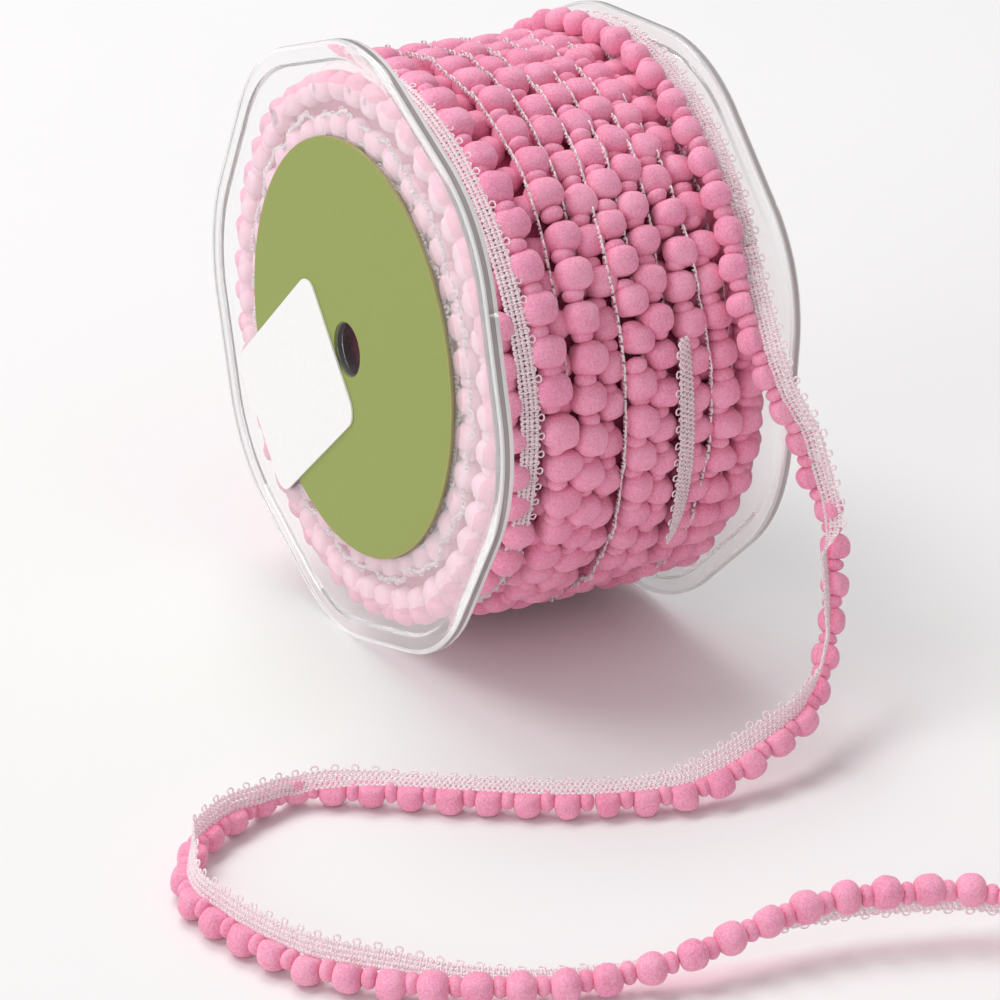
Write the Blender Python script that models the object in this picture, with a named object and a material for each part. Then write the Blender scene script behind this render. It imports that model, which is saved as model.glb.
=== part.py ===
"""Roll of pompom trim on a clear spool, with its loose end in front.

Row frame: metres, +Z up, origin on the floor under the middle of the spool.
The spool's axis runs along X, with the labelled flange at -X.
Sizes below are in millimetres and degrees.
"""

import math

import bpy
from mathutils import Vector

MM = 0.001

# Spool: rounded octagonal flanges on a tube
ACROSS_FLATS = 120.0
OVERALL_WIDTH = 66.0
CORNER_RADIUS = 34.5
CORNER_STEPS = 5
RIM_THICKNESS = 2.4
PLATE_THICKNESS = 1.3
BORDER_WIDTH = 3.5
BORDER_SLOPE = 0.6
BORE_RADIUS = 5.4
TUBE_RADIUS = 7.5
TUBE_STEPS = 32
LABEL_SIDE_TURN = -17.0
PIECE_GAP = 0.3

# Paper on the labelled flange
LABEL_RADIUS = 42.0
LABEL_THICKNESS = 0.3
STICKER_LENGTH = 44.0
STICKER_HEIGHT = 32.0
STICKER_CORNER = 4.0
STICKER_THICKNESS = 0.2
STICKER_CENTRE_Y = 22.4
STICKER_CENTRE_Z = -15.6
STICKER_TURN = -41.5

# Wound trim: eight turns side by side, and the last one lying on top of them
WOUND_INNER_RADIUS = 7.8
TURN_COUNT = 8
TURN_STEPS = 4
VALLEY_RADIUS = 54.2
TURN_RISE = 2.6
BUMPS_PER_TURN = 26
BUMP_STEPS = 4
BUMP_DEPTH = 0.5
SIDE_RINGS = (44.0, 26.0)
SIDE_RELIEF = 0.5
LAST_TURN_X = 23.4
LAST_TURN_HALF_WIDTH = 3.3
LAST_TURN_PEAK = 61.0
LAST_TURN_TAPE_TOP = 59.2
LAST_TURN_START = 31.5
LAST_TURN_LEVEL_END = 125.0
LAST_TURN_END = 175.0
GRID_START = 29.6

# Loose end: a string of pompoms along one edge of a knitted tape
POMPOM_COUNT = 57
POMPOM_SIDES = 4
POMPOM_RADIUS = 2.9
SMALL_RADIUS = 1.9
NECK_RADIUS = 1.0
POMPOM_HALF_LENGTH = 1.3
NECK_REACH = 2.45
TAPE_WIDTH = 3.3
TAPE_THICKNESS = 1.0
TAPE_OFFSET = 4.9

# Route of the loose end: pompom centre x, y, z, then the tape's side as a direction
ROUTE = (
    (24.1, -51.3, 89.0, 1.00, 0.00, 0.00),
    (22.6, -57.4, 78.1, 0.98, -0.18, 0.10),
    (22.7, -62.1, 70.6, 0.86, -0.46, 0.22),
    (24.6, -65.7, 63.3, 0.55, -0.76, 0.32),
    (27.9, -68.6, 56.2, 0.10, -0.90, 0.42),
    (30.6, -71.4, 48.6, -0.32, -0.85, 0.42),
    (31.5, -74.2, 41.0, -0.60, -0.68, 0.42),
    (30.9, -77.2, 34.0, -0.75, -0.52, 0.40),
    (28.9, -80.2, 27.0, -0.78, -0.48, 0.40),
    (26.1, -84.1, 19.8, -0.77, -0.36, 0.52),
    (21.3, -88.4, 14.4, -0.60, -0.10, 0.79),
    (13.1, -92.6, 10.4, -0.38, 0.38, 0.84),
    (3.4, -94.6, 7.4, -0.32, 0.60, 0.73),
    (-5.6, -95.2, 4.9, -0.12, 0.70, 0.70),
    (-13.7, -93.7, 3.2, 0.28, 0.83, 0.48),
    (-23.0, -90.0, 2.9, 0.48, 0.84, 0.25),
    (-34.6, -84.2, 2.9, 0.50, 0.84, 0.22),
    (-46.4, -75.9, 2.9, 0.50, 0.84, 0.20),
    (-57.8, -67.2, 2.9, 0.52, 0.83, 0.20),
    (-66.5, -60.6, 3.0, 0.50, 0.83, 0.24),
    (-74.8, -57.3, 3.2, 0.38, 0.76, 0.52),
    (-83.0, -58.0, 3.2, 0.22, 0.55, 0.80),
    (-90.4, -61.0, 3.2, 0.02, 0.30, 0.95),
    (-97.0, -65.2, 3.2, -0.05, 0.05, 1.00),
    (-102.2, -71.2, 3.1, 0.12, -0.08, 0.99),
    (-105.0, -79.0, 3.0, 0.25, 0.00, 0.97),
    (-104.9, -88.0, 2.9, 0.40, 0.06, 0.91),
    (-102.3, -98.4, 2.9, 0.42, 0.16, 0.89),
    (-97.5, -109.0, 2.9, 0.38, 0.28, 0.88),
    (-90.3, -117.4, 2.9, 0.38, 0.60, 0.70),
    (-80.4, -124.0, 2.9, 0.40, 0.88, 0.25),
    (-69.0, -130.6, 2.9, 0.46, 0.88, -0.02),
    (-57.5, -135.4, 3.3, 0.47, 0.87, -0.14),
    (-44.5, -139.8, 5.6, 0.44, 0.81, -0.38),
    (-31.5, -141.4, 8.2, 0.42, 0.62, -0.66),
    (-18.5, -142.9, 9.8, 0.32, 0.50, -0.80),
    (-5.5, -147.2, 10.0, 0.28, 0.47, -0.84),
    (6.0, -153.0, 9.5, 0.28, 0.47, -0.84),
    (14.5, -161.4, 8.3, 0.32, 0.40, -0.86),
    (21.2, -170.6, 6.7, 0.36, 0.34, -0.87),
)

# Plain colours of the pieces
CLEAR_PLASTIC = (0.86, 0.87, 0.88, 1.0)
LABEL_GREEN = (0.33, 0.39, 0.10, 1.0)
STICKER_WHITE = (0.90, 0.90, 0.89, 1.0)
TRIM_PINK = (0.78, 0.24, 0.42, 1.0)
TAPE_PINK = (0.83, 0.55, 0.65, 1.0)


def clear_scene():
    """Empty the scene."""
    for obj in list(bpy.data.objects):
        bpy.data.objects.remove(obj, do_unlink=True)


def plain_material(name, colour, roughness, alpha=1.0):
    """One Principled material with a plain colour."""
    material = bpy.data.materials.new(name)
    material.use_nodes = True
    material.diffuse_color = colour
    shader = material.node_tree.nodes["Principled BSDF"]
    shader.inputs["Base Color"].default_value = colour
    shader.inputs["Roughness"].default_value = roughness
    shader.inputs["Alpha"].default_value = alpha
    return material


def add_solid(name, points, faces, material, parent=None):
    """Closed mesh object from points in millimetres, its faces turned outwards."""
    mesh = bpy.data.meshes.new(name)
    mesh.from_pydata([tuple(c * MM for c in point) for point in points], [], faces)
    mesh.validate()
    mesh.update()
    obj = bpy.data.objects.new(name, mesh)
    bpy.context.scene.collection.objects.link(obj)
    obj.data.materials.append(material)
    obj.parent = parent
    return obj


def signed_volume(points, faces):
    """Volume inside the faces, below zero when they face inwards."""
    total = 0.0
    for face in faces:
        first = Vector(points[face[0]])
        for second, third in zip(face[1:-1], face[2:]):
            total += first.dot(Vector(points[second]).cross(Vector(points[third])))
    return total / 6.0


def outward(points, faces):
    """The same faces, reversed when they face inwards."""
    if signed_volume(points, faces) < 0.0:
        return [tuple(reversed(face)) for face in faces]
    return faces


def closed_rings(rings):
    """Points and faces of a torus-like solid: each ring joins the next, the last the first."""
    count = len(rings[0])
    points = [point for ring in rings for point in ring]
    faces = []
    for row in range(len(rings)):
        low = row * count
        high = (row + 1) % len(rings) * count
        for step in range(count):
            after = (step + 1) % count
            faces.append((low + step, low + after, high + after, high + step))
    return points, outward(points, faces)


def capped_rings(rings):
    """Points and faces of a swept solid with a flat face at each end."""
    count = len(rings[0])
    points = [point for ring in rings for point in ring]
    faces = []
    for row in range(len(rings) - 1):
        low = row * count
        high = low + count
        for step in range(count):
            after = (step + 1) % count
            faces.append((low + step, low + after, high + after, high + step))
    faces.append(tuple(reversed(range(count))))
    last = (len(rings) - 1) * count
    faces.append(tuple(last + step for step in range(count)))
    return points, outward(points, faces)


def octagon_outline(inset, turn):
    """Rounded octagon, as (y, z) points and their angles, drawn in by inset."""
    reach = ACROSS_FLATS / 2 - CORNER_RADIUS
    corner = reach / math.cos(math.radians(22.5))
    radius = CORNER_RADIUS - inset
    outline = []
    for side in range(8):
        middle = math.radians(45.0 * side + 22.5 + turn)
        for step in range(CORNER_STEPS + 1):
            angle = math.radians(45.0 * side + 45.0 * step / CORNER_STEPS + turn)
            y = corner * math.cos(middle) + radius * math.cos(angle)
            z = corner * math.sin(middle) + radius * math.sin(angle)
            outline.append((y, z))
    return outline


def round_outline(radius, like):
    """Circle whose points lie at the same angles as another outline's."""
    circle = []
    for y, z in like:
        angle = math.atan2(z, y)
        circle.append((radius * math.cos(angle), radius * math.sin(angle)))
    return circle


def plain_circle(radius, count):
    """Circle of evenly spaced (y, z) points."""
    angles = [2 * math.pi * step / count for step in range(count)]
    return [(radius * math.cos(angle), radius * math.sin(angle)) for angle in angles]


def at_x(outline, x):
    """(y, z) outline placed at one x."""
    return [(x, y, z) for y, z in outline]


def resting_axis():
    """Tilt in degrees and height of the axis when both flanges stand on the floor."""
    near = max(-z for y, z in octagon_outline(0.0, LABEL_SIDE_TURN))
    far = max(-z for y, z in octagon_outline(0.0, 0.0))
    outer = OVERALL_WIDTH / 2
    inner = outer - RIM_THICKNESS
    tilt = math.atan2(near - far, outer + inner)
    height = far * math.cos(tilt) + outer * math.sin(tilt)
    return tilt, height


def spool_frame():
    """Empty that carries the spool and what is wound on it."""
    tilt, height = resting_axis()
    axle = bpy.data.objects.new("axle", None)
    bpy.context.scene.collection.objects.link(axle)
    axle.location = (0.0, 0.0, height * MM)
    axle.rotation_euler = (0.0, tilt, 0.0)
    return axle


def add_flange(name, side, turn, parent):
    """Clear plate with a thicker border on its outer face and the bore through it."""
    outer = side * OVERALL_WIDTH / 2
    inner = side * (OVERALL_WIDTH / 2 - RIM_THICKNESS)
    plate = inner + side * PLATE_THICKNESS
    edge = octagon_outline(0.0, turn)
    border = octagon_outline(BORDER_WIDTH, turn)
    foot = octagon_outline(BORDER_WIDTH + BORDER_SLOPE, turn)
    bore = round_outline(BORE_RADIUS, edge)
    rings = [
        at_x(bore, inner),
        at_x(edge, inner),
        at_x(edge, outer),
        at_x(border, outer),
        at_x(foot, plate),
        at_x(bore, plate),
    ]
    points, faces = closed_rings(rings)
    material = plain_material(name, CLEAR_PLASTIC, 0.08, 0.35)
    return add_solid(name, points, faces, material, parent)


def add_tube(parent):
    """Hub tube between the flanges."""
    half = OVERALL_WIDTH / 2 - RIM_THICKNESS - PIECE_GAP
    inner = plain_circle(BORE_RADIUS, TUBE_STEPS)
    outer = plain_circle(TUBE_RADIUS, TUBE_STEPS)
    rings = [at_x(inner, -half), at_x(outer, -half), at_x(outer, half), at_x(inner, half)]
    points, faces = closed_rings(rings)
    material = plain_material("hub_tube", CLEAR_PLASTIC, 0.1, 0.35)
    return add_solid("hub_tube", points, faces, material, parent)


def add_label(parent):
    """Round paper label with a hole over the bore."""
    plate = -(OVERALL_WIDTH / 2 - RIM_THICKNESS + PLATE_THICKNESS)
    inner = plate - PIECE_GAP
    outer = inner - LABEL_THICKNESS
    hole = plain_circle(BORE_RADIUS, 48)
    edge = plain_circle(LABEL_RADIUS, 48)
    rings = [at_x(hole, inner), at_x(edge, inner), at_x(edge, outer), at_x(hole, outer)]
    points, faces = closed_rings(rings)
    material = plain_material("paper_label", LABEL_GREEN, 0.7)
    return add_solid("paper_label", points, faces, material, parent)


def sticker_outline():
    """Rounded rectangle of the blank sticker, turned on the face."""
    half_length = STICKER_LENGTH / 2 - STICKER_CORNER
    half_height = STICKER_HEIGHT / 2 - STICKER_CORNER
    turn = math.radians(STICKER_TURN)
    outline = []
    for corner, (sign_y, sign_z) in enumerate(((1, 1), (-1, 1), (-1, -1), (1, -1))):
        for step in range(5):
            angle = math.radians(90.0 * corner + 22.5 * step)
            y = sign_y * half_length + STICKER_CORNER * math.cos(angle)
            z = sign_z * half_height + STICKER_CORNER * math.sin(angle)
            turned_y = y * math.cos(turn) - z * math.sin(turn)
            turned_z = y * math.sin(turn) + z * math.cos(turn)
            outline.append((STICKER_CENTRE_Y + turned_y, STICKER_CENTRE_Z + turned_z))
    return outline


def add_sticker(parent):
    """Blank white sticker over the label."""
    outer = -OVERALL_WIDTH / 2
    inner = outer + STICKER_THICKNESS
    outline = sticker_outline()
    points, faces = capped_rings([at_x(outline, inner), at_x(outline, outer)])
    material = plain_material("blank_sticker", STICKER_WHITE, 0.45)
    return add_solid("blank_sticker", points, faces, material, parent)


def smooth_step(value, low, high):
    """0 below low, 1 above high, smooth between."""
    part = min(1.0, max(0.0, (value - low) / (high - low)))
    return part * part * (3.0 - 2.0 * part)


def turn_ripple(turn, degrees):
    """Height of the pompoms along one turn, from 1 - BUMP_DEPTH to 1."""
    phase = (turn * 7 % 5) / 5.0 + 0.08 * math.sin(math.radians(degrees * 2 + turn * 50))
    wave = 0.5 + 0.5 * math.cos(2 * math.pi * (BUMPS_PER_TURN * degrees / 360.0 + phase))
    return 1.0 - BUMP_DEPTH + BUMP_DEPTH * wave


def last_turn_height(x, degrees):
    """Radius of the turn that lies on top along the far flange, or 0 where there is none."""
    if not LAST_TURN_START <= degrees <= LAST_TURN_END:
        return 0.0
    ripple = turn_ripple(TURN_COUNT, degrees)
    across = (x - LAST_TURN_X) / LAST_TURN_HALF_WIDTH
    tape = LAST_TURN_TAPE_TOP if x > LAST_TURN_X else 0.0
    bump = 0.0
    if abs(across) < 1.0:
        bump = VALLEY_RADIUS + 1.6
        bump += (LAST_TURN_PEAK - bump) * math.cos(across * math.pi / 2) ** 0.6 * ripple ** 0.5
    sunk = 4.0 * smooth_step(degrees, LAST_TURN_LEVEL_END, LAST_TURN_END)
    return max(tape, bump) - sunk


def wound_radius(x, degrees):
    """Radius of the wound trim at one place of its face."""
    half = OVERALL_WIDTH / 2 - RIM_THICKNESS - PIECE_GAP
    pitch = 2 * half / TURN_COUNT
    turn = min(TURN_COUNT - 1, int((x + half) / pitch))
    across = (x + half) / pitch - turn - 0.5
    ridge = math.cos(across * math.pi) * turn_ripple(turn, degrees)
    rise = TURN_RISE
    if turn == TURN_COUNT - 1:
        rise = TURN_RISE - 1.6
    return max(VALLEY_RADIUS + rise * ridge, last_turn_height(x, degrees))


def add_wound_trim(parent):
    """The wound roll as one solid: turns side by side, raised where each pompom row lies."""
    half = OVERALL_WIDTH / 2 - RIM_THICKNESS - PIECE_GAP
    count = BUMPS_PER_TURN * BUMP_STEPS
    angles = [GRID_START + 360.0 * step / count for step in range(count)]
    steps = TURN_COUNT * TURN_STEPS
    stations = [-half + 2 * half * step / steps for step in range(steps + 1)]
    profile = [(-half, WOUND_INNER_RADIUS)]
    for ring, radius in enumerate(reversed(SIDE_RINGS)):
        profile.append((-half + SIDE_RELIEF * (ring % 2), radius))
    profile += [(x, None) for x in stations]
    for ring, radius in enumerate(SIDE_RINGS):
        profile.append((half - SIDE_RELIEF * ((ring + 1) % 2), radius))
    profile.append((half, WOUND_INNER_RADIUS))
    rings = []
    for x, radius in profile:
        ring = []
        for degrees in angles:
            reach = wound_radius(x, degrees % 360.0) if radius is None else radius
            y = -reach * math.cos(math.radians(degrees))
            z = reach * math.sin(math.radians(degrees))
            ring.append((x, y, z))
        rings.append(ring)
    points, faces = closed_rings(rings)
    material = plain_material("wound_trim", TRIM_PINK, 0.85)
    return add_solid("wound_trim", points, faces, material, parent)


def spline(values, place):
    """Catmull-Rom value at a place counted in table rows."""
    row = min(len(values) - 2, max(0, int(place)))
    part = place - row
    before = values[max(0, row - 1)]
    start = values[row]
    end = values[row + 1]
    after = values[min(len(values) - 1, row + 2)]
    linear = (end - before) * 0.5
    square = before - start * 2.5 + end * 2.0 - after * 0.5
    cube = (start - end) * 1.5 + (after - before) * 0.5
    return start + linear * part + square * part * part + cube * part**3


class LooseRoute:
    """Smooth line through the route table, measured along its length."""

    def __init__(self, fine=24):
        self.places = [Vector(row[:3]) for row in ROUTE]
        self.sides = [Vector(row[3:]).normalized() for row in ROUTE]
        self.rows = [step / fine for step in range((len(ROUTE) - 1) * fine + 1)]
        self.line = [spline(self.places, row) for row in self.rows]
        self.lengths = [0.0]
        for first, second in zip(self.line, self.line[1:]):
            self.lengths.append(self.lengths[-1] + (second - first).length)

    def row_at(self, length):
        """Place in table rows at one length along the line."""
        length = min(self.lengths[-1], max(0.0, length))
        low = 0
        high = len(self.lengths) - 1
        while high - low > 1:
            middle = (low + high) // 2
            if self.lengths[middle] <= length:
                low = middle
            else:
                high = middle
        part = (length - self.lengths[low]) / (self.lengths[high] - self.lengths[low])
        return self.rows[low] + part * (self.rows[high] - self.rows[low])

    def at(self, length):
        """Centre, direction of travel and the tape's side there."""
        row = self.row_at(length)
        centre = spline(self.places, row)
        ahead = spline(self.places, min(row + 0.02, len(ROUTE) - 1.0))
        behind = spline(self.places, max(row - 0.02, 0.0))
        travel = (ahead - behind).normalized()
        side = spline(self.sides, row)
        side = (side - travel * side.dot(travel)).normalized()
        return centre, travel, side


def upright_section(travel):
    """Level and rising directions across the line of travel."""
    level = Vector((0.0, 0.0, 1.0)).cross(travel)
    if level.length < 0.35:
        level = level + Vector((0.35, 0.0, 0.0))
    level = (level - travel * level.dot(travel)).normalized()
    return level, travel.cross(level).normalized()


def add_loose_pompoms(route):
    """String of large and small pompoms, fused by the yarn that runs through them."""
    pitch = route.lengths[-1] / POMPOM_COUNT
    rings = []
    level = None
    for number in range(POMPOM_COUNT):
        middle = (number + 0.5) * pitch
        profile = [
            (-NECK_REACH, NECK_RADIUS),
            (-POMPOM_HALF_LENGTH, POMPOM_RADIUS),
            (POMPOM_HALF_LENGTH, POMPOM_RADIUS),
            (NECK_REACH, NECK_RADIUS),
        ]
        if number < POMPOM_COUNT - 1:
            profile.append((pitch / 2, SMALL_RADIUS))
        for offset, radius in profile:
            centre, travel, side = route.at(middle + offset)
            level, rise = upright_section(travel)
            ring = []
            for step in range(POMPOM_SIDES):
                angle = 2 * math.pi * step / POMPOM_SIDES
                point = centre + (level * math.cos(angle) + rise * math.sin(angle)) * radius
                ring.append(tuple(point))
            rings.append(ring)
    points, faces = capped_rings(rings)
    material = plain_material("loose_pompoms", TRIM_PINK, 0.9)
    return add_solid("loose_pompoms", points, faces, material)


def add_loose_tape(route):
    """Flat knitted tape beside the pompoms."""
    pitch = route.lengths[-1] / POMPOM_COUNT
    half_width = TAPE_WIDTH / 2
    half_thick = TAPE_THICKNESS / 2
    rings = []
    for step in range(2 * POMPOM_COUNT + 1):
        centre, travel, side = route.at(step * pitch / 2)
        face = travel.cross(side).normalized()
        middle = centre + side * TAPE_OFFSET
        ring = []
        for across, through in ((1, 1), (-1, 1), (-1, -1), (1, -1)):
            point = middle + side * (across * half_width) + face * (through * half_thick)
            ring.append(tuple(point))
        rings.append(ring)
    points, faces = capped_rings(rings)
    material = plain_material("loose_tape", TAPE_PINK, 0.6)
    return add_solid("loose_tape", points, faces, material)


def main():
    """Build every piece."""
    clear_scene()
    axle = spool_frame()
    add_flange("flange_label_side", -1, LABEL_SIDE_TURN, axle)
    add_flange("flange_far_side", 1, 0.0, axle)
    add_tube(axle)
    add_label(axle)
    add_sticker(axle)
    add_wound_trim(axle)
    route = LooseRoute()
    add_loose_pompoms(route)
    add_loose_tape(route)


main()
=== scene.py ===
"""Looks of a roll of pompom trim on a clear spool, with its loose end in front.

Metres, +Z up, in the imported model's frame. Sizes in the classes are in millimetres
and degrees, and are turned to metres where a mesh is made.
"""

import logging
import math
from dataclasses import dataclass
from enum import Enum

import bpy
import numpy as np
from mathutils import Matrix, Vector


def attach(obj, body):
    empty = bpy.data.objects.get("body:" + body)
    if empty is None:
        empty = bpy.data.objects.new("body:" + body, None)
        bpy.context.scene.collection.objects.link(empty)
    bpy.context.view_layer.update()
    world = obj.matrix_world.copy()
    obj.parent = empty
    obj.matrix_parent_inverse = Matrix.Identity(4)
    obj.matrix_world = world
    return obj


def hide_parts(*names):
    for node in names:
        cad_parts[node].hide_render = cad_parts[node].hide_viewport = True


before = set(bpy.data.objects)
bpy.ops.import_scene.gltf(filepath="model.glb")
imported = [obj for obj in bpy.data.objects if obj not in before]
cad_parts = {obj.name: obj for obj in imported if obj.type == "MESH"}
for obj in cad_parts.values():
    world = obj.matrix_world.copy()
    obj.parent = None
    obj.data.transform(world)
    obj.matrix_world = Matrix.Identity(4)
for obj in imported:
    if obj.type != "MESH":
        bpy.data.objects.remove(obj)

MM = 0.001
FLOOR_AIR_MM = 0.05
LOG = logging.getLogger("pompom_roll")

# Route of the loose end: pompom centres in millimetres
ROUTE = (
    (22.3, -51.3, 89.0),
    (21.6, -57.4, 78.1),
    (22.2, -62.1, 70.6),
    (24.2, -65.7, 63.3),
    (27.4, -68.5, 56.2),
    (29.0, -70.6, 48.6),
    (31.5, -74.2, 41.0),
    (30.9, -77.2, 34.0),
    (28.9, -80.2, 27.0),
    (25.3, -83.6, 19.8),
    (20.3, -87.9, 14.4),
    (13.1, -92.6, 10.4),
    (3.4, -94.6, 7.4),
    (-5.6, -95.2, 4.9),
    (-13.7, -93.7, 3.2),
    (-23.0, -90.0, 2.9),
    (-34.6, -84.2, 2.9),
    (-46.4, -75.9, 2.9),
    (-57.8, -67.2, 2.9),
    (-66.5, -60.6, 3.0),
    (-74.2, -56.3, 3.2),
    (-83.0, -58.0, 3.2),
    (-90.4, -61.0, 3.2),
    (-97.0, -65.2, 3.2),
    (-102.2, -71.2, 3.1),
    (-105.0, -79.0, 3.0),
    (-104.2, -86.8, 2.9),
    (-101.6, -97.2, 2.9),
    (-96.8, -107.8, 2.9),
    (-89.6, -116.2, 2.9),
    (-80.4, -124.0, 2.9),
    (-69.0, -130.6, 2.9),
    (-57.5, -135.4, 3.3),
    (-44.5, -139.8, 5.6),
    (-31.5, -141.4, 8.2),
    (-18.5, -142.9, 9.8),
    (-5.5, -147.2, 10.0),
    (6.0, -153.0, 9.5),
    (14.5, -161.4, 8.3),
    (21.2, -170.6, 6.7),
)

# Row of the route, direction from the pompoms to the tape, direction across the tape
FOLDS = (
    (0, 1.00, 0.00, 0.00, 0.97, -0.10, 0.20),
    (1, 0.75, -0.60, 0.15, 0.95, -0.30, 0.10),
    (2, 0.15, -0.90, 0.35, 0.90, -0.45, 0.10),
    (3, -0.20, -0.90, 0.40, 0.86, -0.50, 0.10),
    (5, -0.25, -0.88, 0.40, 0.80, -0.60, 0.10),
    (6, -0.85, -0.20, 0.25, 0.70, -0.70, 0.10),
    (7, -0.93, 0.10, 0.20, -0.75, -0.55, 0.36),
    (8, -0.90, -0.30, 0.30, -0.75, -0.55, 0.36),
    (9, -0.60, -0.65, 0.45, -0.62, -0.66, 0.42),
    (10, -0.65, -0.50, 0.60, -0.40, -0.60, 0.70),
    (11, -0.60, -0.10, 0.80, -0.50, 0.10, 0.85),
    (12, -0.32, 0.60, 0.73, -0.32, 0.60, 0.73),
    (13, -0.12, 0.70, 0.70, -0.12, 0.70, 0.70),
    (14, 0.10, 0.30, 0.95, 0.45, 0.80, 0.40),
    (15, -0.04, -0.07, 1.00, 0.50, 0.84, 0.22),
    (18, -0.04, -0.07, 1.00, 0.50, 0.84, 0.22),
    (19, -0.30, -0.50, 0.80, 0.40, 0.68, 0.60),
    (20, -0.50, -0.85, 0.17, 0.21, 0.36, 0.91),
    (21, -0.40, -0.70, 0.55, 0.10, 0.36, 0.92),
    (22, -0.05, -0.10, 0.99, 0.00, 0.30, 0.95),
    (23, -0.10, -0.05, 0.99, 0.00, 0.20, 0.97),
    (24, 0.00, -0.50, 0.85, 0.28, -0.30, 0.85),
    (25, 0.25, -0.20, 0.95, 0.45, 0.00, 0.89),
    (26, 0.40, 0.06, 0.91, 0.40, 0.06, 0.91),
    (27, 0.42, 0.16, 0.89, 0.42, 0.16, 0.89),
    (28, 0.38, 0.28, 0.88, 0.38, 0.28, 0.88),
    (29, 0.38, 0.60, 0.70, 0.38, 0.60, 0.70),
    (30, 0.40, 0.88, 0.25, 0.40, 0.88, 0.25),
    (31, 0.46, 0.88, -0.02, 0.46, 0.88, -0.02),
    (32, 0.47, 0.87, -0.14, 0.47, 0.87, -0.14),
    (33, 0.44, 0.81, -0.38, 0.44, 0.81, -0.38),
    (34, 0.36, 0.55, -0.75, 0.36, 0.55, -0.75),
    (35, 0.18, 0.28, -0.94, 0.18, 0.28, -0.94),
    (36, 0.15, 0.25, -0.95, 0.15, 0.25, -0.95),
    (37, 0.18, 0.30, -0.93, 0.18, 0.30, -0.93),
    (38, 0.32, 0.40, -0.86, 0.32, 0.40, -0.86),
    (39, 0.36, 0.34, -0.87, 0.36, 0.34, -0.87),
)


def linear(hex_colour: str) -> tuple[float, float, float, float]:
    """Turn an sRGB hex colour to linear RGBA.

    Args:
        hex_colour: colour as "#RRGGBB".

    Returns:
        Linear red, green, blue and an alpha of 1.
    """
    channels = [int(hex_colour[start:start + 2], 16) / 255 for start in (1, 3, 5)]
    turned = [c / 12.92 if c <= 0.04045 else ((c + 0.055) / 1.055) ** 2.4 for c in channels]
    return (turned[0], turned[1], turned[2], 1.0)


def add_node(
    tree: bpy.types.NodeTree,
    kind: str,
    settings: dict | None = None,
    links: dict | None = None,
) -> bpy.types.Node:
    """Add one node.

    Args:
        tree: the material's node tree.
        kind: Blender's name of the node type.
        settings: values by the name of a property or, failing that, an input.
        links: output sockets by the name or number of the input that they feed.

    Returns:
        The new node.
    """
    node = tree.nodes.new(kind)
    for name, value in (settings or {}).items():
        if isinstance(name, str) and hasattr(node, name):
            setattr(node, name, value)
        else:
            node.inputs[name].default_value = value
    for name, output in (links or {}).items():
        tree.links.new(output, node.inputs[name])
    return node


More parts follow.
